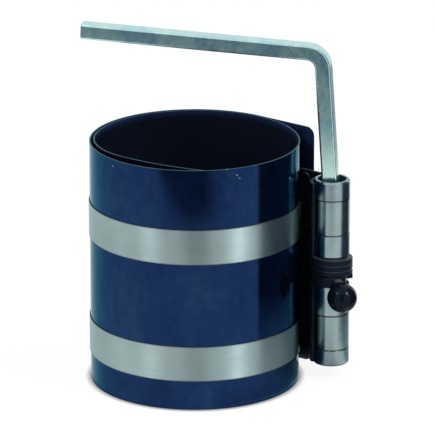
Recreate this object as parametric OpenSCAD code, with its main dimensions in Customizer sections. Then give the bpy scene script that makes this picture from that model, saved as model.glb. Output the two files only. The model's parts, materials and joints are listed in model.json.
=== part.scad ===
// Band type piston ring compressor, in millimetres.
// A sheet of spring steel is coiled into an open sleeve. Two steel bands run round it, from a
// spindle that winds them in to a weld under the sleeve's flap. A coil spring grips the spindle,
// and a knob on an open ring lets it go. The origin is on the sleeve's axis at its bottom edge,
// with the spindle towards +X.

/* [Sleeve] */
// Outer diameter of the coiled sleeve
sleeve_d = 68; // [62:0.5:74]
// Height of the sleeve
sleeve_h = 80; // [76:0.5:100]
// Thickness of the spring steel sheet
sleeve_t = 0.5; // [0.3:0.05:0.7]
// Clear space between the two layers of the coil
layer_gap = 0.1; // [0.05:0.05:0.3]
// Distance of the flap's end from where the bands meet the spindle
flap_back = 11.8; // [10:0.1:12]
// Radius of the flap's corners
flap_corner_r = 3; // [1:0.5:5]

/* [Bands] */
// Width of each tension band
band_w = 11.6; // [9:0.1:12]
// Thickness of each tension band
band_t = 0.25; // [0.2:0.05:0.4]
// Space between a band and what it lies on
band_seat = 0.05; // [0.02:0.01:0.1]
// Length of each band's welded end on the flap
weld_lap = 7.5; // [5:0.5:9]

/* [Spindle] */
// Distance of the spindle's axis outside the sleeve's circle
spindle_gap = 10.2; // [9.8:0.1:12]
// Distance of the spindle's axis behind the sleeve's axis
spindle_y = 0.5; // [0:0.1:1.5]
// Outer diameter of the spindle's tubes
spindle_d = 11.8; // [11.4:0.1:12.2]
// Height of the spindle's lower end
spindle_z = 4.2; // [3.5:0.1:4.5]
// Length of the tube below the lower band
bottom_tube_len = 5.45; // [5:0.05:6.5]
// Length of the tube between the lower band and the clutch
lower_tube_len = 10.15; // [9:0.05:11]
// Length of the tube between the clutch and the upper band
upper_tube_len = 7.45; // [7:0.05:9]
// Length of the tube above the upper band
top_tube_len = 6.25; // [5.5:0.05:7]
// Diameter of the core inside the tubes
core_d = 9.4; // [9.2:0.1:9.6]
// Depth of the core's upper end inside the top tube
recess_depth = 3.5; // [2:0.1:4]
// Depth of the square socket in the core
socket_depth = 10; // [8:0.5:11]

/* [Cradle] */
// Thickness of the cradle's sheet
cradle_t = 1; // [0.7:0.1:1.2]
// Space between the cradle and the tubes that turn in it
cradle_clear = 0.1; // [0.05:0.05:0.2]
// Length of the cradle's flange along the flap
flange_len = 8.2; // [7.6:0.1:8.4]
// Angle that the cradle's lip reaches round the spindle
cradle_wrap = 65; // [55:5:75]
// Diameter of the rivets that hold the cradle
rivet_d = 2.4; // [2:0.1:2.6]

/* [Clutch] */
// Height of the clutch between the two middle tubes
clutch_h = 9.9; // [9.6:0.1:10.4]
// Diameter of the journal that the spring grips
journal_d = 10; // [9.8:0.1:10.2]
// Thickness of the clutch spring's square wire, outwards from the journal
wire_t = 1.8; // [1.6:0.05:1.85]
// Height of the release ring
ring_h = 3.1; // [2.8:0.1:3.2]
// Diameter of the thumb knob
knob_d = 9.7; // [8:0.1:9.8]
// Distance of the knob's centre from the spindle's axis
knob_reach = 11.3; // [11.2:0.1:12.5]
// Drop of the knob's centre below the clutch's lower shoulder
knob_drop = 1.75; // [1.75:0.05:2.5]

/* [Key] */
// Width across the flats of the key's square bar
key_s = 5.05; // [4.8:0.05:5.1]
// Length of the key's leg, up to the corner of its middle line
key_leg = 55.2; // [50:0.1:70]
// Length of the key's arm, from that corner
key_arm = 79; // [70:1:110]
// Radius of the key's bend, at the inside
key_bend_r = 2.8; // [1:0.1:4]
// Angle by which the key's arm is bent up from square
key_open = 6; // [0:1:10]
// Angle by which the loose key leans over
key_lean = 3.8; // [2:0.1:4]
// Direction of the key's arm, anticlockwise from +X
key_yaw = 168; // [0:1:360]

/* [Hidden] */
$fn = 96;

// Clearances
fit = 0.05;
seam = 0.1;
run_gap = 0.15;
weld_gap = 0.02;
leg_lap = 0.1;
hair = 0.02;

// The spindle's radii and heights
spindle_r = spindle_d / 2;
core_r = core_d / 2;
journal_r = journal_d / 2;
roll_r = spindle_r - 0.1;
spindle_x = sleeve_d / 2 + spindle_gap;
spindle_xy = [spindle_x, spindle_y];

// The stack of pieces on the core, from the bottom up
lower_band_z = spindle_z + bottom_tube_len;
clutch_z = lower_band_z + band_w + lower_tube_len;
clutch_top = clutch_z + clutch_h;
upper_band_z = clutch_top + upper_tube_len;
spindle_top = upper_band_z + band_w + top_tube_len;
spindle_len = spindle_top - spindle_z;

// The outer tangent of the band's circle and the spindle's roll gives the flap's direction
band_line_r = sleeve_d / 2 + band_seat + band_t / 2;
run_r = roll_r + run_gap + band_t / 2;
centre_dist = norm(spindle_xy);
flap_a = atan2(spindle_y, spindle_x) + acos((band_line_r - run_r) / centre_dist);
tangent_len = sqrt(pow(centre_dist, 2) - pow(band_line_r - run_r, 2));
flap_len = tangent_len - flap_back;

// The sleeve's coil, as the middle line of its sheet
coil_r = sleeve_d / 2 - sleeve_t / 2;
inner_r = coil_r - sleeve_t - layer_gap;
flap_t = sleeve_t - hair;
shrink_a = 315;
inner_end_a = 526;
inner_end = [[0.775 * inner_r, 63.6], [2.54 * inner_r, 20.5]];
coil_moves = concat([[coil_r, shrink_a - flap_a], [inner_r, inner_end_a - shrink_a]], inner_end);

// A band's way: lip on the roll, flap, sleeve, straight to the flap's inner face, weld
lip_a = 35;
leave_a = 3;
weld_bend_r = 2;
weld_turn = flap_a - leave_a;
weld_line = sleeve_d / 2 - sleeve_t - weld_gap - band_t / 2;
weld_run = (weld_line - weld_bend_r * (1 - cos(weld_turn)) - band_line_r * cos(weld_turn)) / sin(weld_turn);
band_start = spindle_xy + run_r * way(flap_a - lip_a);
band_moves = [
    [run_r, lip_a], [0, tangent_len], [band_line_r, 360 - weld_turn], [0, weld_run],
    [weld_bend_r, weld_turn], [0, weld_lap]
];

// The cradle: flange on the flap, bend, wall, lip round the spindle
cradle_r = spindle_r + cradle_clear + cradle_t / 2;
flange_line = sleeve_d / 2 - sleeve_t - weld_gap - cradle_t / 2;
cradle_bend_r = 1.5;
flange_end_s = tangent_len - cradle_r - cradle_bend_r;
flange_start = flange_line * way(flap_a) + (flange_end_s - flange_len) * way(flap_a - 90);
cradle_wall = flange_line - cradle_bend_r - (band_line_r - run_r);
cradle_moves = [[0, flange_len], [cradle_bend_r, -90], [0, cradle_wall], [cradle_r, cradle_wrap]];
cradle_rim = 0.8;
cradle_z = spindle_z + cradle_rim;
cradle_h = spindle_len - 2 * cradle_rim;
window_r = cradle_r + cradle_t / 2 + 1.6;

// The rivets sit where no band passes
rivet_r = rivet_d / 2;
rivet_head_r = 1.9;
rivet_head_h = 0.8;
rivet_s = (flange_end_s - flange_len + flap_len) / 2;
band_bottoms = [lower_band_z, upper_band_z];
band_tops = [lower_band_z + band_w, upper_band_z + band_w];
rivet_zs = [
    (cradle_z + band_bottoms[0]) / 2, (band_tops[0] + clutch_z) / 2,
    (clutch_top + band_bottoms[1]) / 2, (band_tops[1] + cradle_z + cradle_h) / 2
];

// The band's roll on the spindle, as half turns of growing radius
roll_pitch = band_t + 0.02;
roll_start_r = core_r + weld_gap + band_t / 2 + roll_pitch / 4;
half_turns = 1 + floor((roll_r - band_t / 2 - roll_pitch / 4 - roll_start_r) / (roll_pitch / 2));
roll_moves = [for (k = [0:half_turns - 1]) [roll_start_r + k * roll_pitch / 2, 180]];
pin_r = 1;
pin_depth = 1.4;

// The clutch spring's wire, as high as the coil's turns leave room for above the ring
coil_clear = 0.1;
turn_gap = 0.05;
spring_start_a = flap_a + 134.7;
spring_sweep = 880;
spring_step = 10;
spring_turns = spring_sweep / 360;
wire_h = (clutch_h - ring_h - 3 * seam - spring_turns * turn_gap) / (spring_turns + 1);
wire_edge = 0.25;
spring_r = journal_r + coil_clear + wire_t / 2;
spring_pitch = wire_h + turn_gap;
spring_top = clutch_top - seam - wire_h / 2;
spring_low = spring_top - spring_pitch * spring_sweep / 360;
tail_start = spring_r * way(spring_start_a);
tail_way = way(spring_start_a - 90);
tail_reach = flange_line - (band_line_r - run_r) - cradle_t / 3;
tail_len = (tail_reach - tail_start * way(flap_a)) / (tail_way * way(flap_a));
tail_end = tail_start + tail_len * tail_way;

// The release ring and its knob
ring_z = clutch_z + seam;
ring_in = journal_r + seam;
ring_out = spindle_r + 0.8;
ring_from = spring_start_a - 158;
ring_sweep = 282;
knob_a = -73.5;
knob_z = clutch_z - knob_drop;
stud_r = 1.2;
stud_base = [ring_out - 0.5, ring_z + 0.4 * ring_h];
stud_vec = [knob_reach, knob_z] - stud_base;
stud_tilt = atan2(stud_vec[0], stud_vec[1]);
boss_r = 2;
boss_sink = 0.8;
neck_r = 2;
neck_len = 0.3;

// The key in its socket
socket_mid = spindle_top - recess_depth - socket_depth / 2;
socket_s = key_s + socket_depth * tan(key_lean) + 0.2;
key_edge_r = 0.7;
key_edge_steps = 4;
key_foot = socket_depth / 2 - 0.4;
socket_cut = 1;
key_turn = 90 - key_open;
bend_mid = key_bend_r + key_s / 2;
bend_reach = bend_mid * tan(key_turn / 2);
tube_chamfer = 0.45;
seam_chamfer = 0.2;

// Unit vector at an angle
function way(a) = [cos(a), sin(a)];

// A move is [radius, sweep] for an arc or [0, length] for a straight; a negative sweep turns right
function turn(m) = m[1] < 0 ? -1 : 1;
function centre(p, a, m) = p + turn(m) * m[0] * way(a + 90);
function end_point(p, a, m) =
    m[0] == 0 ? p + m[1] * way(a) : centre(p, a, m) + m[0] * way(a - 90 * turn(m) + m[1]);
function end_heading(a, m) = m[0] == 0 ? a : a + m[1];
function walk(p, a, moves, i = 0) =
    i == len(moves) ? []
    : concat(
        [[p, a, moves[i]]],
        walk(end_point(p, a, moves[i]), end_heading(a, moves[i]), moves, i + 1)
    );

// A strip of sheet on edge that follows a list of moves. Each leg reaches a little into the next,
// and every other leg is a hair smaller, so that the legs join cleanly.
module strip(p, a, moves, t, h) {
    legs = walk(p, a, moves);
    last = len(legs) - 1;
    for (i = [0:last]) {
        m = legs[i][2];
        slack = i % 2 == 0 ? 0 : hair;
        thick = t - slack;
        reach = i == last ? 0 : leg_lap;
        translate([0, 0, slack / 2])
            if (m[0] == 0)
                translate(legs[i][0]) rotate(legs[i][1])
                    translate([0, -thick / 2, 0]) cube([m[1] + reach, thick, h - slack]);
            else
                translate(centre(legs[i][0], legs[i][1], m))
                    arc_wall(
                        legs[i][1] - 90 * turn(m), m[1] + turn(m) * reach / m[0] * 180 / PI,
                        m[0], thick, h - slack
                    );
    }
}

// A curved wall from one angle on, as far as its sweep
module arc_wall(from, sweep, r, t, h) {
    rotate(from + min(0, sweep))
        rotate_extrude(angle = abs(sweep)) translate([r - t / 2, 0]) square([t, h]);
}

// Places children in the flap's frame: x along the flap, y outwards
module on_flap() {
    translate(coil_r * way(flap_a)) rotate(flap_a - 90) children();
}

// Places children on the spindle's axis
module on_spindle(z = 0) {
    translate([spindle_x, spindle_y, z]) children();
}

// The flap's outline, with round corners at its free end and a start inside the coil's end
module flap_outline() {
    low = hair / 2;
    high = sleeve_h - hair / 2;
    translate([-leg_lap, low]) square([flap_len - flap_corner_r + leg_lap, high - low]);
    translate([0, low + flap_corner_r]) square([flap_len, high - low - 2 * flap_corner_r]);
    for (z = [low + flap_corner_r, high - flap_corner_r])
        translate([flap_len - flap_corner_r, z]) circle(flap_corner_r);
}

// A round bar through the flap at one rivet
module rivet_bar(i, r, from, to) {
    on_flap()
        translate([rivet_s, from, rivet_zs[i]]) rotate([-90, 0, 0]) cylinder(r = r, h = to - from);
}

// The drillings for all the rivets
module rivet_holes(from, to) {
    for (i = [0:len(rivet_zs) - 1])
        rivet_bar(i, rivet_r + fit, from, to);
}

module sleeve() {
    color("midnightblue")
        difference() {
            union() {
                strip(coil_r * way(flap_a), flap_a + 90, coil_moves, sleeve_t, sleeve_h);
                on_flap()
                    translate([0, flap_t / 2, 0]) rotate([90, 0, 0]) linear_extrude(flap_t) flap_outline();
            }
            rivet_holes(-sleeve_t, sleeve_t);
        }
}

module band(z) {
    color("silver")
        translate([0, 0, z]) strip(band_start, flap_a - lip_a + 90, band_moves, band_t, band_w);
}

module upper_band() {
    band(upper_band_z);
}

module lower_band() {
    band(lower_band_z);
}

module spindle_cradle() {
    color([0.08, 0.08, 0.1])
        difference() {
            translate([0, 0, cradle_z]) strip(flange_start, flap_a - 90, cradle_moves, cradle_t, cradle_h);
            on_spindle(clutch_z - seam) cylinder(r = window_r, h = clutch_h + 3 * seam);
            rivet_holes(-sleeve_t - 2 * cradle_t, 0);
            on_spindle() spring_tail_hole();
        }
}

// The drilling in the flange that holds the spring's upper end
module spring_tail_hole() {
    translate([tail_end[0], tail_end[1], spring_top])
        rotate([0, 90, spring_start_a - 90])
            cylinder(r = norm([wire_h / 2, wire_t / 2 - wire_edge]) + fit, h = 4 * cradle_t, center = true);
}

// A rivet through the flap and the cradle's flange, with a head at each side
module rivet(i) {
    inner = -sleeve_t / 2 - weld_gap - cradle_t;
    outer = sleeve_t / 2;
    color([0.16, 0.16, 0.18]) {
        rivet_bar(i, rivet_r, inner, outer);
        rivet_bar(i, rivet_head_r, outer, outer + rivet_head_h);
        rivet_bar(i, rivet_head_r, inner - rivet_head_h, inner);
    }
}

module bottom_rivet() {
    rivet(0);
}

module lower_rivet() {
    rivet(1);
}

module upper_rivet() {
    rivet(2);
}

module top_rivet() {
    rivet(3);
}

// Points along the spring's wire, from the tail in the flange to the free end beside the ring
function spring_path() = concat(
    [for (f = [1, 0.66, 0.33]) concat(tail_start + f * tail_len * tail_way, spring_top)],
    [
        for (a = [0:spring_step:spring_sweep])
            concat(spring_r * way(spring_start_a + a), spring_top - spring_pitch * a / 360)
    ],
    [
        for (k = [1:5])
            concat(
                spring_r * way(spring_start_a + spring_sweep + 14 * sin(18 * k)),
                spring_low - 2.2 * (1 - cos(18 * k)) - (k == 5 ? 0.4 : 0)
            )
    ]
);

function unit(v) = v / norm(v);

// A wire's section: a square with its edges broken, as steps along the axis and outwards
function wire_section() =
    let (a = wire_h / 2, b = wire_t / 2, e = wire_edge)
    [
        [a, e - b], [a, b - e], [a - e, b], [e - a, b],
        [-a, b - e], [-a, e - b], [e - a, -b], [a - e, -b]
    ];

// A ring of points round one point of a path
function ring_at(path, i, section) =
    let (
        ahead = unit(path[min(i + 1, len(path) - 1)] - path[max(i - 1, 0)]),
        side = unit(cross(ahead, [path[i][0], path[i][1], 0])),
        up = cross(side, ahead)
    )
    [for (s = section) path[i] + s[0] * side + s[1] * up];

// A wire of that section along a path
module wire(path, section) {
    n = len(section);
    last = (len(path) - 1) * n;
    points = [for (i = [0:len(path) - 1]) each ring_at(path, i, section)];
    sides = [
        for (i = [0:len(path) - 2], k = [0:n - 1])
            [i * n + k, i * n + (k + 1) % n, (i + 1) * n + (k + 1) % n, (i + 1) * n + k]
    ];
    ends = [[for (k = [n - 1:-1:0]) k], [for (k = [0:n - 1]) last + k]];
    polyhedron(points, concat(sides, ends), convexity = 8);
}

module clutch_spring() {
    color([0.1, 0.1, 0.12])
        on_spindle() wire(spring_path(), wire_section());
}

module spindle_core() {
    color("gray")
        on_spindle()
            difference() {
                union() {
                    translate([0, 0, spindle_z]) cylinder(r = core_r, h = spindle_len - recess_depth);
                    translate([0, 0, clutch_z]) cylinder(r = journal_r, h = clutch_h);
                }
                translate([0, 0, socket_mid + socket_cut / 2])
                    rotate(key_yaw) cube([socket_s, socket_s, socket_depth + socket_cut], center = true);
                for (z = band_bottoms)
                    band_pin_at(z, fit / 5);
            }
}

// A tube on the core, with a chamfer at each end
module tube(z0, z1, low_chamfer, high_chamfer) {
    color([0.66, 0.68, 0.7])
        on_spindle()
            rotate_extrude()
                polygon([
                    [core_r, z0], [spindle_r - low_chamfer, z0], [spindle_r, z0 + low_chamfer],
                    [spindle_r, z1 - high_chamfer], [spindle_r - high_chamfer, z1], [core_r, z1]
                ]);
}

module top_tube() {
    tube(band_tops[1] + seam, spindle_top, seam_chamfer, tube_chamfer);
}

module upper_mid_tube() {
    tube(clutch_top, band_bottoms[1] - seam, seam_chamfer, seam_chamfer);
}

module lower_mid_tube() {
    tube(band_tops[0] + seam, clutch_z, seam_chamfer, seam_chamfer);
}

module bottom_tube() {
    tube(spindle_z, band_bottoms[0] - seam, tube_chamfer, seam_chamfer);
}

// The turns of band on the core, with a hole in the first turn for its pin
module band_roll(z) {
    color("silver")
        on_spindle(z)
            difference() {
                rotate(flap_a - lip_a)
                    strip([roll_start_r - roll_pitch / 4, 0], 90, roll_moves, band_t, band_w);
                translate([0, 0, -z]) band_pin_at(z, fit);
            }
}

module upper_band_roll() {
    band_roll(upper_band_z);
}

module lower_band_roll() {
    band_roll(lower_band_z);
}

// The pin that holds a band's inner end on the core, square to one flat of the socket
module band_pin_at(z, clear = 0) {
    translate([0, 0, z + band_w / 2])
        rotate([0, 90, key_yaw + 180])
            translate([0, 0, core_r - pin_depth]) cylinder(r = pin_r + clear, h = pin_depth + band_t);
}

module upper_band_pin() {
    color("dimgray") on_spindle() band_pin_at(upper_band_z);
}

module lower_band_pin() {
    color("dimgray") on_spindle() band_pin_at(lower_band_z);
}

// Places children along the stud, z from the ring to the knob
module on_stud() {
    rotate(knob_a) translate([stud_base[0], 0, stud_base[1]]) rotate([0, stud_tilt, 0]) children();
}

// The swelling of the ring that holds the stud, kept off the journal, the tube and the coil
module ring_boss() {
    difference() {
        on_stud() translate([0, 0, -boss_sink]) cylinder(r = boss_r, h = 1 + boss_sink);
        cylinder(r = ring_in + 3 * seam, h = spindle_top);
        cylinder(r = spindle_r + 2 * seam, h = ring_z + seam);
        translate([0, 0, ring_z + ring_h - seam]) cylinder(r = 2 * spindle_r, h = clutch_h);
    }
}

module release_ring() {
    color([0.08, 0.08, 0.1])
        on_spindle()
            difference() {
                union() {
                    translate([0, 0, ring_z])
                        rotate(ring_from)
                            rotate_extrude(angle = ring_sweep)
                                translate([ring_in, 0]) square([ring_out - ring_in, ring_h]);
                    ring_boss();
                }
                on_stud() translate([0, 0, -fit]) cylinder(r = stud_r + fit, h = 4);
            }
}

module knob_stud() {
    color("gray")
        on_spindle() on_stud() cylinder(r = stud_r, h = norm(stud_vec));
}

module thumb_knob() {
    color([0.05, 0.05, 0.06])
        on_spindle()
            on_stud()
                translate([0, 0, norm(stud_vec)])
                    difference() {
                        union() {
                            sphere(d = knob_d);
                            translate([0, 0, -knob_d / 2 - neck_len + 0.6])
                                cylinder(r = neck_r, h = neck_len + 0.6);
                        }
                        translate([0, 0, -knob_d]) cylinder(r = stud_r + fit / 2, h = knob_d + fit);
                    }
}

// The key's bar in section, a square with round edges
module bar_section(inset = 0) {
    c = key_s / 2 - key_edge_r;
    r = key_edge_r - inset;
    polygon([
        for (q = [0:3], k = [0:key_edge_steps])
            c * sqrt(2) * way(90 * q + 45) + r * way(90 * (q + k / key_edge_steps))
    ]);
}

module drive_key() {
    color("lightsteelblue")
        on_spindle(socket_mid)
            rotate(key_yaw) rotate([0, key_lean, 0])
                translate([0, 0, -key_foot]) {
                    linear_extrude(key_leg - bend_reach + leg_lap) bar_section();
                    translate([bend_mid, 0, key_leg - bend_reach])
                        rotate([90, 0, 0])
                            rotate(180 - key_turn) rotate_extrude(angle = key_turn)
                                translate([bend_mid, 0]) bar_section(hair / 2);
                    translate([0, 0, key_leg])
                        rotate([0, key_turn, 0])
                            translate([0, 0, bend_reach - leg_lap])
                                linear_extrude(key_arm - bend_reach + leg_lap) bar_section();
                }
}

sleeve();
upper_band();
lower_band();
spindle_cradle();
bottom_rivet();
lower_rivet();
upper_rivet();
top_rivet();
clutch_spring();
spindle_core();
top_tube();
upper_mid_tube();
lower_mid_tube();
bottom_tube();
upper_band_roll();
lower_band_roll();
upper_band_pin();
lower_band_pin();
release_ring();
knob_stud();
thumb_knob();
drive_key();
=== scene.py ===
"""Looks of a band type piston ring compressor, in metres, in the frame of its CAD model."""

import json
import math

import bpy
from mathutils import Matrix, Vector


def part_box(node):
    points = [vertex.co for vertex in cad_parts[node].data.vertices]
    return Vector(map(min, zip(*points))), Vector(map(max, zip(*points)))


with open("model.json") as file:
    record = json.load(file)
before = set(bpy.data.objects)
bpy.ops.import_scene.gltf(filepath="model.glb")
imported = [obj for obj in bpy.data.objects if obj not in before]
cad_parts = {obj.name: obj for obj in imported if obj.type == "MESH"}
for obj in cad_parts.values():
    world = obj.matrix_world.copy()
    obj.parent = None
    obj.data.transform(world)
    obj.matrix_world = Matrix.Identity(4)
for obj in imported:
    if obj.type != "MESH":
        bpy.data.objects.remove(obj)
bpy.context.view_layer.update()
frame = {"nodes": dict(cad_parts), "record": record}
NODES = frame["nodes"]


# Camera, fitted to the rims, bands and spindle in the photograph

EYE = Vector((0.0, -1.4741, 0.5316))
AIM = Vector((0.00728, 0.00409, 0.05227))
LENS_MM = 397.0
SENSOR_MM = 36.0
CLIP_START = 0.01
CLIP_END = 20.0


def make_camera():
    data = bpy.data.cameras.new("camera")
    data.lens = LENS_MM
    data.sensor_width = SENSOR_MM
    data.clip_start = CLIP_START
    data.clip_end = CLIP_END
    camera = bpy.data.objects.new("camera", data)
    camera.location = EYE
    camera.rotation_mode = "QUATERNION"
    camera.rotation_quaternion = (AIM - EYE).to_track_quat("-Z", "Y")
    bpy.context.scene.collection.objects.link(camera)
    bpy.context.scene.camera = camera


# Shader helpers


def bare_material(name):
    """A material with nothing but its output; returns it, its tree and the output's surface."""
    material = bpy.data.materials.new(name)
    material.use_nodes = True
    tree = material.node_tree
    tree.nodes.clear()
    output = tree.nodes.new("ShaderNodeOutputMaterial")
    return material, tree, output.inputs["Surface"]


def new_material(name):
    """A material with one principled shader; returns it with its tree and the shader."""
    material, tree, target = bare_material(name)
    shader = tree.nodes.new("ShaderNodeBsdfPrincipled")
    tree.links.new(shader.outputs["BSDF"], target)
    return material, tree, shader


def surface(tree, output):
    """One of the texture coordinates of the surface, such as Object, Generated or Normal."""
    return tree.nodes.new("ShaderNodeTexCoord").outputs[output]


def along(tree, vector, axis):
    """The X, Y or Z of a vector."""
    node = tree.nodes.new("ShaderNodeSeparateXYZ")
    tree.links.new(vector, node.inputs["Vector"])
    return node.outputs[axis]


def place(tree, axis):
    """The X, Y or Z of a point on the surface, in the object's own coordinates."""
    return along(tree, surface(tree, "Object"), axis)


def noise(tree, scale, stretch=(1.0, 1.0, 1.0), detail=4.0, roughness=0.55):
    """Noise over the object's own coordinates, squeezed along its axes; returns its factor."""
    mapping = tree.nodes.new("ShaderNodeMapping")
    mapping.inputs["Scale"].default_value = stretch
    texture = tree.nodes.new("ShaderNodeTexNoise")
    texture.inputs["Scale"].default_value = scale
    texture.inputs["Detail"].default_value = detail
    texture.inputs["Roughness"].default_value = roughness
    tree.links.new(surface(tree, "Object"), mapping.inputs["Vector"])
    tree.links.new(mapping.outputs["Vector"], texture.inputs["Vector"])
    return texture.outputs[0]


def ramp(tree, factor, stops):
    """A colour ramp with the given positions and colours; returns its colour."""
    node = tree.nodes.new("ShaderNodeValToRGB")
    elements = node.color_ramp.elements
    while len(elements) < len(stops):
        elements.new(0.5)
    for element, (position, colour) in zip(elements, stops):
        element.position = position
        element.color = (*colour, 1.0)
    tree.links.new(factor, node.inputs["Fac"])
    return node.outputs["Color"]


def spread(tree, factor, low, high, start=0.3, end=0.7):
    """A factor mapped from start and end to low and high, and held outside them."""
    node = tree.nodes.new("ShaderNodeMapRange")
    node.inputs["From Min"].default_value = start
    node.inputs["From Max"].default_value = end
    node.inputs["To Min"].default_value = low
    node.inputs["To Max"].default_value = high
    tree.links.new(factor, node.inputs["Value"])
    return node.outputs["Result"]


def rise(tree, factor, span):
    """Nothing up to the start of a span, one from its end on."""
    return spread(tree, factor, 0.0, 1.0, *span)


def fall(tree, factor, span):
    """One up to the start of a span, nothing from its end on."""
    return spread(tree, factor, 1.0, 0.0, *span)


def math_node(tree, operation, first, second=0.0):
    """A sum on one or two sockets or numbers."""
    node = tree.nodes.new("ShaderNodeMath")
    node.operation = operation
    for socket, value in zip(node.inputs, (first, second)):
        if isinstance(value, (int, float)):
            socket.default_value = value
        else:
            tree.links.new(value, socket)
    return node.outputs[0]


def weighed(tree, first, second, share):
    """The first factor by its share of the whole, and the second by the rest."""
    first_part = math_node(tree, "MULTIPLY", first, share)
    second_part = math_node(tree, "MULTIPLY", second, 1.0 - share)
    return math_node(tree, "ADD", first_part, second_part)


def blend_colour(tree, factor, first, second):
    """Blends from one colour to another, each a socket or three numbers."""
    node = tree.nodes.new("ShaderNodeMix")
    node.data_type = "RGBA"
    tree.links.new(factor, node.inputs["Factor"])
    first_socket, second_socket, result = node.inputs[6], node.inputs[7], node.outputs[2]
    for socket, value in ((first_socket, first), (second_socket, second)):
        if isinstance(value, tuple):
            socket.default_value = (*value, 1.0)
        else:
            tree.links.new(value, socket)
    return result


def bump(tree, shader, height, distance):
    """Raises the shader's surface by a height, which is one at the distance in metres."""
    node = tree.nodes.new("ShaderNodeBump")
    node.inputs["Strength"].default_value = 1.0
    node.inputs["Distance"].default_value = distance
    tree.links.new(height, node.inputs["Height"])
    tree.links.new(node.outputs["Normal"], shader.inputs["Normal"])


def brushed(tree, shader, amount):
    """Fine lines that run level round a piece, so that lights stretch up and down."""
    quarter_turn = 0.25
    node = tree.nodes.new("ShaderNodeTangent")
    node.direction_type = "RADIAL"
    node.axis = "Z"
    tree.links.new(node.outputs["Tangent"], shader.inputs["Tangent"])
    shader.inputs["Anisotropic"].default_value = amount
    shader.inputs["Anisotropic Rotation"].default_value = quarter_turn


# Places on the pieces

SPINDLE_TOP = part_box("top_tube")[1][2]
OPEN_END_Z = (SPINDLE_TOP - 0.001, SPINDLE_TOP - 0.0007)
EDGE_TILT = (0.55, 0.8)
INWARD = (-0.006, 0.006)
FLAP_X = (0.0335, 0.0365)
FLAP_Z = (0.02, 0.05)
BACK_Y = (0.0, 0.02)
RIM_Z = (0.0745, 0.0785)
MOUTH_Z = (0.0777, 0.0795)
REFLECTION_Z = (0.068, 0.084)


def cut_edge(tree):
    """One on the level edges of upright sheet, nothing on its sides."""
    tilt = math_node(tree, "ABSOLUTE", along(tree, surface(tree, "Normal"), "Z"))
    return rise(tree, tilt, EDGE_TILT)


def inner_side(tree):
    """One on faces that look towards the sleeve's axis, nothing on those that look away."""
    node = tree.nodes.new("ShaderNodeVectorMath")
    node.operation = "DOT_PRODUCT"
    tree.links.new(surface(tree, "Object"), node.inputs[0])
    tree.links.new(surface(tree, "Normal"), node.inputs[1])
    return fall(tree, node.outputs["Value"], INWARD)


def on_flap(tree):
    """One on the upper part of the sleeve's straight flap, nothing on its coil; painted light
    goes there.
    """
    across = rise(tree, place(tree, "X"), FLAP_X)
    return math_node(tree, "MULTIPLY", across, rise(tree, place(tree, "Z"), FLAP_Z))


def end_lines(tree, width):
    """One along the upper and lower edge of a piece, over a share of its height."""
    across = math_node(tree, "SUBTRACT", along(tree, surface(tree, "Generated"), "Z"), 0.5)
    return rise(tree, math_node(tree, "ABSOLUTE", across), (0.5 - width, 0.5))


def below_top(tree):
    """One on the spindle below its open upper end, nothing at that end, which is kept free of the
    seams' grime and painted shade.
    """
    return fall(tree, place(tree, "Z"), OPEN_END_Z)


# Materials

BARE_STEEL = (0.30, 0.37, 0.37)
# Cut edges of the sleeve: bare steel with a painted highlight at the front, the sheet's blue at
# the back
WORN_AND_LIT_EDGE = (0.045, 0.062, 0.068)
BLUED_EDGE = (0.012, 0.020, 0.045)
# Lighter cut edges of black sheet: partly worn bare, partly a painted highlight
WORN_AND_LIT_BLACK = (0.09, 0.115, 0.125)
# Darker edges: painted shade where bands meet their neighbours, grime and painted shade at tube
# seams
GRIME_AND_SHADE = (0.085, 0.11, 0.115)
# Painted shade on the sleeve's inner side, and painted light on that side near the rim and on the
# flap
INNER_PAINTED_SHADE = (0.009, 0.0125, 0.028)
PAINTED_LIGHT_BLUE = (0.022, 0.040, 0.135)
# Paler lower end of the key: a painted reflection
PAINTED_REFLECTION_ZINC = (0.70, 0.97, 0.90)
BLUE_SHINE = (0.45, 0.65, 1.0, 1.0)
CHIP_SPOTS = (0.745, 0.775)


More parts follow.
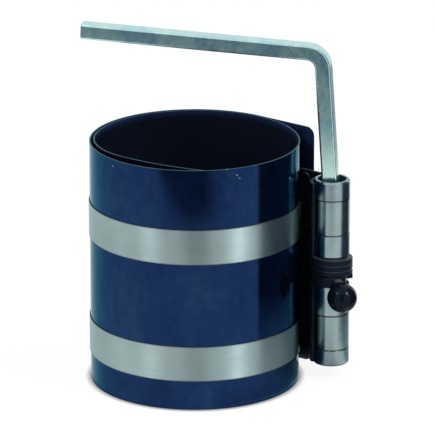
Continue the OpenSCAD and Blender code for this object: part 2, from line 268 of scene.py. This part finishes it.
def blued_steel():
    """Tempered spring steel: clouded blue, chipped by the rim; painted shade inside, painted
    light on the flap and inner rim, cut edges partly bare and partly a painted highlight.
    """
    material, tree, shader = new_material("blued_steel")
    cloud = noise(tree, 60.0, (1.0, 1.0, 0.7), detail=6.0, roughness=0.62)
    fleck = noise(tree, 420.0, (1.0, 1.0, 0.7), detail=3.0, roughness=0.6)
    tone = weighed(tree, cloud, fleck, 0.7)
    blue = ramp(
        tree,
        tone,
        [
            (0.30, (0.0056, 0.0175, 0.067)),
            (0.50, (0.0088, 0.0275, 0.091)),
            (0.70, (0.0140, 0.0440, 0.113)),
        ],
    )
    # The inner side is painted darker as shade, and lighter near the rim and on the flap as
    # painted light
    inside = inner_side(tree)
    mouth = rise(tree, place(tree, "Z"), MOUTH_Z)
    painted_lit = math_node(tree, "MAXIMUM", mouth, on_flap(tree))
    inner_shade_and_light = blend_colour(tree, painted_lit, INNER_PAINTED_SHADE, PAINTED_LIGHT_BLUE)
    sides = blend_colour(tree, inside, blue, inner_shade_and_light)
    # Cut edges: partly bare steel and partly a painted highlight at the front; no highlight at
    # the back
    back_without_highlight = rise(tree, place(tree, "Y"), BACK_Y)
    edge = blend_colour(tree, back_without_highlight, WORN_AND_LIT_EDGE, BLUED_EDGE)
    edged = blend_colour(tree, cut_edge(tree), sides, edge)
    near_rim = rise(tree, place(tree, "Z"), RIM_Z)
    spots = rise(tree, noise(tree, 620.0, detail=1.0), CHIP_SPOTS)
    outside = math_node(tree, "SUBTRACT", 1.0, inside)
    chips = math_node(tree, "MULTIPLY", math_node(tree, "MULTIPLY", near_rim, spots), outside)
    tree.links.new(blend_colour(tree, chips, edged, BARE_STEEL), shader.inputs["Base Color"])
    tree.links.new(spread(tree, inside, 0.93, 0.45, 0.0, 1.0), shader.inputs["Metallic"])
    dull = math_node(tree, "MULTIPLY", inside, 0.2)
    rough = math_node(tree, "ADD", spread(tree, tone, 0.10, 0.15), dull)
    tree.links.new(rough, shader.inputs["Roughness"])
    shader.inputs["Specular Tint"].default_value = (0.50, 0.72, 0.78, 1.0)
    brushed(tree, shader, 0.3)
    grain = noise(tree, 1.0, (40.0, 40.0, 2600.0), detail=2.0)
    bump(tree, shader, grain, 1.5e-6)
    return material


def band_steel(name, rough, brush, depth):
    """Strip with brush lines along its length and painted shade along its edges, where it meets
    its neighbours.
    """
    material, tree, shader = new_material(name)
    lines = noise(tree, 1.0, (25.0, 25.0, 5200.0), detail=3.0, roughness=0.6)
    cloud = noise(tree, 60.0, (1.0, 1.0, 1.5), detail=3.0)
    tone = weighed(tree, lines, cloud, 0.5)
    steel = ramp(tree, tone, [(0.30, (0.25, 0.33, 0.33)), (0.70, (0.345, 0.445, 0.44))])
    # Painted shade along the strip's edges
    colour = blend_colour(tree, end_lines(tree, 0.035), steel, GRIME_AND_SHADE)
    tree.links.new(colour, shader.inputs["Base Color"])
    shader.inputs["Metallic"].default_value = 1.0
    tree.links.new(spread(tree, lines, *rough), shader.inputs["Roughness"])
    shader.inputs["Specular Tint"].default_value = (0.80, 0.92, 0.92, 1.0)
    brushed(tree, shader, brush)
    bump(tree, shader, lines, depth)
    return material


def tube_steel():
    """Turned tube, smooth, with grime and painted shade where it meets its neighbours."""
    material, tree, shader = new_material("tube_steel")
    lines = noise(tree, 1.0, (60.0, 60.0, 4200.0), detail=3.0)
    cloud = noise(tree, 160.0, detail=3.0)
    steel = ramp(tree, cloud, [(0.30, (0.24, 0.325, 0.345)), (0.70, (0.31, 0.405, 0.42))])
    # Grime and painted shade at the seams, none at the open upper end
    seams = math_node(tree, "MULTIPLY", end_lines(tree, 0.05), below_top(tree))
    tree.links.new(blend_colour(tree, seams, steel, GRIME_AND_SHADE), shader.inputs["Base Color"])
    shader.inputs["Metallic"].default_value = 1.0
    tree.links.new(spread(tree, lines, 0.20, 0.25), shader.inputs["Roughness"])
    shader.inputs["Specular Tint"].default_value = (0.75, 0.88, 0.95, 1.0)
    brushed(tree, shader, 0.5)
    bump(tree, shader, lines, 2.5e-7)
    return material


def core_steel():
    """Plain turned steel, dulled by oil."""
    material, tree, shader = new_material("core_steel")
    cloud = noise(tree, 300.0, detail=3.0)
    colour = ramp(tree, cloud, [(0.30, (0.13, 0.17, 0.18)), (0.70, (0.22, 0.28, 0.29))])
    tree.links.new(colour, shader.inputs["Base Color"])
    shader.inputs["Metallic"].default_value = 1.0
    tree.links.new(spread(tree, cloud, 0.30, 0.45), shader.inputs["Roughness"])
    return material


def black_steel():
    """Blackened steel with a little shine; the cut edges of sheet are lighter, partly worn bare
    and partly a painted highlight.
    """
    material, tree, shader = new_material("black_steel")
    cloud = noise(tree, 250.0)
    black = ramp(tree, cloud, [(0.30, (0.012, 0.017, 0.030)), (0.70, (0.018, 0.025, 0.042))])
    # Cut edges of sheet: worn bare steel and a painted highlight
    worn_and_lit = math_node(tree, "MULTIPLY", cut_edge(tree), spread(tree, cloud, 0.35, 0.75))
    tree.links.new(blend_colour(tree, worn_and_lit, black, WORN_AND_LIT_BLACK), shader.inputs["Base Color"])
    tree.links.new(spread(tree, cloud, 0.32, 0.44), shader.inputs["Roughness"])
    shader.inputs["Specular IOR Level"].default_value = 0.07
    shader.inputs["Specular Tint"].default_value = BLUE_SHINE
    bump(tree, shader, cloud, 8e-6)
    return material


def black_plastic():
    """Moulded glossy plastic."""
    material, tree, shader = new_material("black_plastic")
    cloud = noise(tree, 220.0, detail=3.0)
    colour = ramp(tree, cloud, [(0.30, (0.004, 0.0055, 0.011)), (0.70, (0.007, 0.009, 0.016))])
    tree.links.new(colour, shader.inputs["Base Color"])
    tree.links.new(spread(tree, cloud, 0.12, 0.18), shader.inputs["Roughness"])
    shader.inputs["Specular IOR Level"].default_value = 0.16
    shader.inputs["Specular Tint"].default_value = BLUE_SHINE
    return material


def zinc_steel():
    """Zinc plated bar: clouded from cream to blue green, paler towards its lower end, a painted
    reflection of the floor and spindle.
    """
    material, tree, shader = new_material("zinc_steel")
    broad = noise(tree, 74.0, (1.0, 1.0, 0.5), detail=2.0)
    spots = noise(tree, 420.0, (1.0, 1.0, 0.6), detail=3.0)
    cloud = weighed(tree, broad, spots, 0.4)
    colour = ramp(
        tree,
        cloud,
        [
            (0.36, (0.36, 0.61, 0.68)),
            (0.50, (0.44, 0.68, 0.67)),
            (0.64, (0.53, 0.75, 0.66)),
        ],
    )
    # Paler lower end: a painted reflection
    painted_reflection = fall(tree, place(tree, "Z"), REFLECTION_Z)
    tree.links.new(blend_colour(tree, painted_reflection, colour, PAINTED_REFLECTION_ZINC), shader.inputs["Base Color"])
    shader.inputs["Metallic"].default_value = 1.0
    tree.links.new(spread(tree, cloud, 0.20, 0.27), shader.inputs["Roughness"])
    grain = noise(tree, 1400.0, detail=2.0)
    bump(tree, shader, grain, 1.5e-6)
    return material


ROLLS = ("upper_band_roll", "lower_band_roll")


def dress():
    """Gives each piece the material of its slot; the bands' turns on the spindle are smoother."""
    made = {
        "blued_steel": blued_steel(),
        "band_steel": band_steel("band_steel", rough=(0.36, 0.44), brush=0.95, depth=1.5e-6),
        "tube_steel": tube_steel(),
        "core_steel": core_steel(),
        "black_steel": black_steel(),
        "black_plastic": black_plastic(),
        "zinc_steel": zinc_steel(),
    }
    wound = band_steel("wound_band_steel", rough=(0.22, 0.27), brush=0.7, depth=3e-7)
    for entry in frame["record"]["subparts"]:
        piece = NODES[entry["node"]]
        material = wound if entry["node"] in ROLLS else made[entry["material_slot"]]
        for slot in piece.material_slots:
            slot.material = material


# Floor and world

FLOOR_HALF = 3.0
FLOOR_Z = -0.0002
FLOOR_GREY = (0.14, 0.14, 0.14, 1.0)
FLOOR_GLOW = 0.9
FLOOR_SHADE_SPAN = (0.033, 0.036)
WORLD_LIGHT = 0.4
WORLD_SEEN = 1.0
WHITE = (1.0, 1.0, 1.0)


def plane(name, corners):
    """A flat piece of the stage."""
    mesh = bpy.data.meshes.new(name)
    mesh.from_pydata(corners, [], [tuple(range(len(corners)))])
    obj = bpy.data.objects.new(name, mesh)
    bpy.context.scene.collection.objects.link(obj)
    return obj


def seen_ray(tree):
    """One for camera, glossy and transmission rays, nothing for the rays that light things."""
    path = tree.nodes.new("ShaderNodeLightPath")
    glossy = path.outputs["Is Glossy Ray"]
    shine = math_node(tree, "MAXIMUM", glossy, path.outputs["Is Transmission Ray"])
    return math_node(tree, "MAXIMUM", path.outputs["Is Camera Ray"], shine)


def make_floor():
    """A pale floor that takes shadows and looks white, with painted shade in its glow inside the
    sleeve and in a thin ring round its foot.
    """
    h = FLOOR_HALF
    floor = plane("floor", [(x, y, FLOOR_Z) for x, y in ((-h, -h), (h, -h), (h, h), (-h, h))])
    material, tree, target = bare_material("floor")
    diffuse = tree.nodes.new("ShaderNodeBsdfDiffuse")
    diffuse.inputs["Color"].default_value = FLOOR_GREY
    glow = tree.nodes.new("ShaderNodeEmission")
    both = tree.nodes.new("ShaderNodeAddShader")
    apart = tree.nodes.new("ShaderNodeVectorMath")
    apart.operation = "LENGTH"
    tree.links.new(surface(tree, "Object"), apart.inputs[0])
    # No glow inside the sleeve and round its foot: painted shade
    glow_outside_shade = spread(tree, apart.outputs["Value"], 0.0, FLOOR_GLOW, *FLOOR_SHADE_SPAN)
    strength = math_node(tree, "MULTIPLY", seen_ray(tree), glow_outside_shade)
    tree.links.new(strength, glow.inputs["Strength"])
    tree.links.new(diffuse.outputs[0], both.inputs[0])
    tree.links.new(glow.outputs[0], both.inputs[1])
    tree.links.new(both.outputs[0], target)
    floor.data.materials.append(material)


def make_world():
    """White where it is seen, and a weaker even light."""
    world = bpy.data.worlds.new("world")
    bpy.context.scene.world = world
    world.use_nodes = True
    tree = world.node_tree
    tree.nodes.clear()
    output = tree.nodes.new("ShaderNodeOutputWorld")
    sky = tree.nodes.new("ShaderNodeBackground")
    sky.inputs["Color"].default_value = (*WHITE, 1.0)
    strength = spread(tree, seen_ray(tree), WORLD_LIGHT, WORLD_SEEN, 0.0, 1.0)
    tree.links.new(strength, sky.inputs["Strength"])
    tree.links.new(sky.outputs[0], output.inputs["Surface"])


# Lamps: name, azimuth, elevation, width and height, power

LAMPS = (
    ("lamp_left", -58.0, 46.0, (0.20, 0.24), 2.5),
    ("lamp_right", 54.0, 42.0, (0.15, 0.24), 3.6),
    ("rim_left", -104.0, 41.0, (0.16, 0.16), 0.9),
    ("rim_right", 98.0, 58.0, (0.16, 0.16), 0.9),
)
LAMP_AIM = Vector((0.0, 0.0, 0.04))
LAMP_DISTANCE = 0.9


def make_lamp(name, azimuth, elevation, size, power):
    """A soft box that faces the tool; azimuth 0 is the camera's side, positive to the right."""
    a, e = math.radians(azimuth), math.radians(elevation)
    way = Vector((math.sin(a) * math.cos(e), -math.cos(a) * math.cos(e), math.sin(e)))
    data = bpy.data.lights.new(name, "AREA")
    data.shape = "RECTANGLE"
    data.size, data.size_y = size
    data.energy = power
    lamp = bpy.data.objects.new(name, data)
    lamp.location = LAMP_AIM + way * LAMP_DISTANCE
    lamp.rotation_mode = "QUATERNION"
    lamp.rotation_quaternion = (-way).to_track_quat("-Z", "Y")
    bpy.context.scene.collection.objects.link(lamp)


# Cards that only reflections show: glowing sheets that paint darker and paler surroundings, and
# shade on the floor by the tool, into reflections

FRONT_DARK = (0.04, 0.052, 0.075)
FRONT_BLUE = (0.15, 0.225, 0.31)
FRONT_FAR = (0.05, 0.08, 0.12)
FRONT_SLOPE = (0.16, 0.78)
FRONT_DEPTH = (0.22, 0.32)
SLEEVE_FRONT = -0.034
RIGHT_NEAR = (0.36, 0.44, 0.48)
RIGHT_DARK = (0.045, 0.06, 0.09)
RIGHT_X = (0.085, 0.120)
FOOT_PALE = (0.95, 0.97, 1.0)
FOOT_SHADOW = (0.18, 0.20, 0.23)
FOOT_Y = (-0.038, -0.004)
BACK_GREY = (0.26, 0.30, 0.36)

CARD_LIFT = 0.001
FRONT_OUTLINE = ((-0.165, -0.226), (0.16, -0.217), (0.72, -0.92), (-1.0, -0.95), (-0.30, -0.262))
FRONT_WALL = ((-0.20, -0.97), (0.24, -0.97), 0.9)
RIGHT_OUTLINE = (
    (0.072, -0.043),
    (0.40, -0.141),
    (0.40, 0.33),
    (0.082, 0.052),
    (0.061, 0.021),
    (0.053, 0.006),
    (0.074, -0.009),
)
RIGHT_WALL = ((0.30, -0.111), (0.30, 0.19), 0.6)
# Painted shadow of the spindle on the floor, seen only in reflections
FOOT_OUTLINE = (
    (0.0059, -0.0343),
    (0.0153, -0.0600),
    (0.0400, -0.0500),
    (0.0488, -0.0310),
    (0.0545, -0.0120),
    (0.0545, 0.0000),
    (0.0520, 0.0120),
    (0.0352, 0.0080),
    (0.0348, 0.0000),
    (0.0327, -0.0119),
    (0.0267, -0.0224),
    (0.0174, -0.0302),
)
BACK_OUTLINE = ((0.130, 0.220), (0.235, 0.220), (0.32, 0.45), (0.20, 0.45))


def front_colours(tree):
    """Dark, bluer part of the way from the sleeve, and fading to white on the right."""
    forwards = math_node(tree, "SUBTRACT", SLEEVE_FRONT, place(tree, "Y"))
    depth = rise(tree, forwards, FRONT_DEPTH)
    dark = ramp(tree, depth, [(0.08, FRONT_DARK), (0.42, FRONT_BLUE), (0.78, FRONT_FAR)])
    slope = math_node(tree, "DIVIDE", place(tree, "X"), forwards)
    return blend_colour(tree, rise(tree, slope, FRONT_SLOPE), dark, WHITE)


def right_colours(tree):
    """Dark, and paler near the sleeve."""
    return blend_colour(tree, rise(tree, place(tree, "X"), RIGHT_X), RIGHT_NEAR, RIGHT_DARK)


def foot_colours(tree):
    """Pale in front, and darker towards the back: a painted shadow on the floor under the
    spindle, seen only in reflections.
    """
    return blend_colour(tree, rise(tree, place(tree, "Y"), FOOT_Y), FOOT_PALE, FOOT_SHADOW)


def lying(outline):
    """The corners of a card that lies just above the floor."""
    return [(x, y, CARD_LIFT) for x, y in outline]


def standing(first, second, height):
    """The corners of a card that stands on the floor between two points."""
    return [(*first, 0.0), (*second, 0.0), (*second, height), (*first, height)]


def make_card(name, corners, colour):
    """A card of one colour, or of the colours that a function makes."""
    card = plane(name, corners)
    material, tree, target = bare_material(name)
    glow = tree.nodes.new("ShaderNodeEmission")
    if callable(colour):
        tree.links.new(colour(tree), glow.inputs["Color"])
    else:
        glow.inputs["Color"].default_value = (*colour, 1.0)
    tree.links.new(glow.outputs[0], target)
    card.data.materials.append(material)
    card.visible_camera = False
    card.visible_diffuse = False
    card.visible_shadow = False


def make_stage():
    make_floor()
    make_world()
    for lamp in LAMPS:
        make_lamp(*lamp)
    make_card("card_front", lying(FRONT_OUTLINE), front_colours)
    make_card("card_front_wall", standing(*FRONT_WALL), FRONT_DARK)
    make_card("card_right", lying(RIGHT_OUTLINE), right_colours)
    make_card("card_foot", lying(FOOT_OUTLINE), foot_colours)
    make_card("card_behind", lying(BACK_OUTLINE), BACK_GREY)
    make_card("card_right_wall", standing(*RIGHT_WALL), RIGHT_DARK)


bpy.context.scene.view_settings.view_transform = "Standard"
make_camera()
dress()
make_stage()
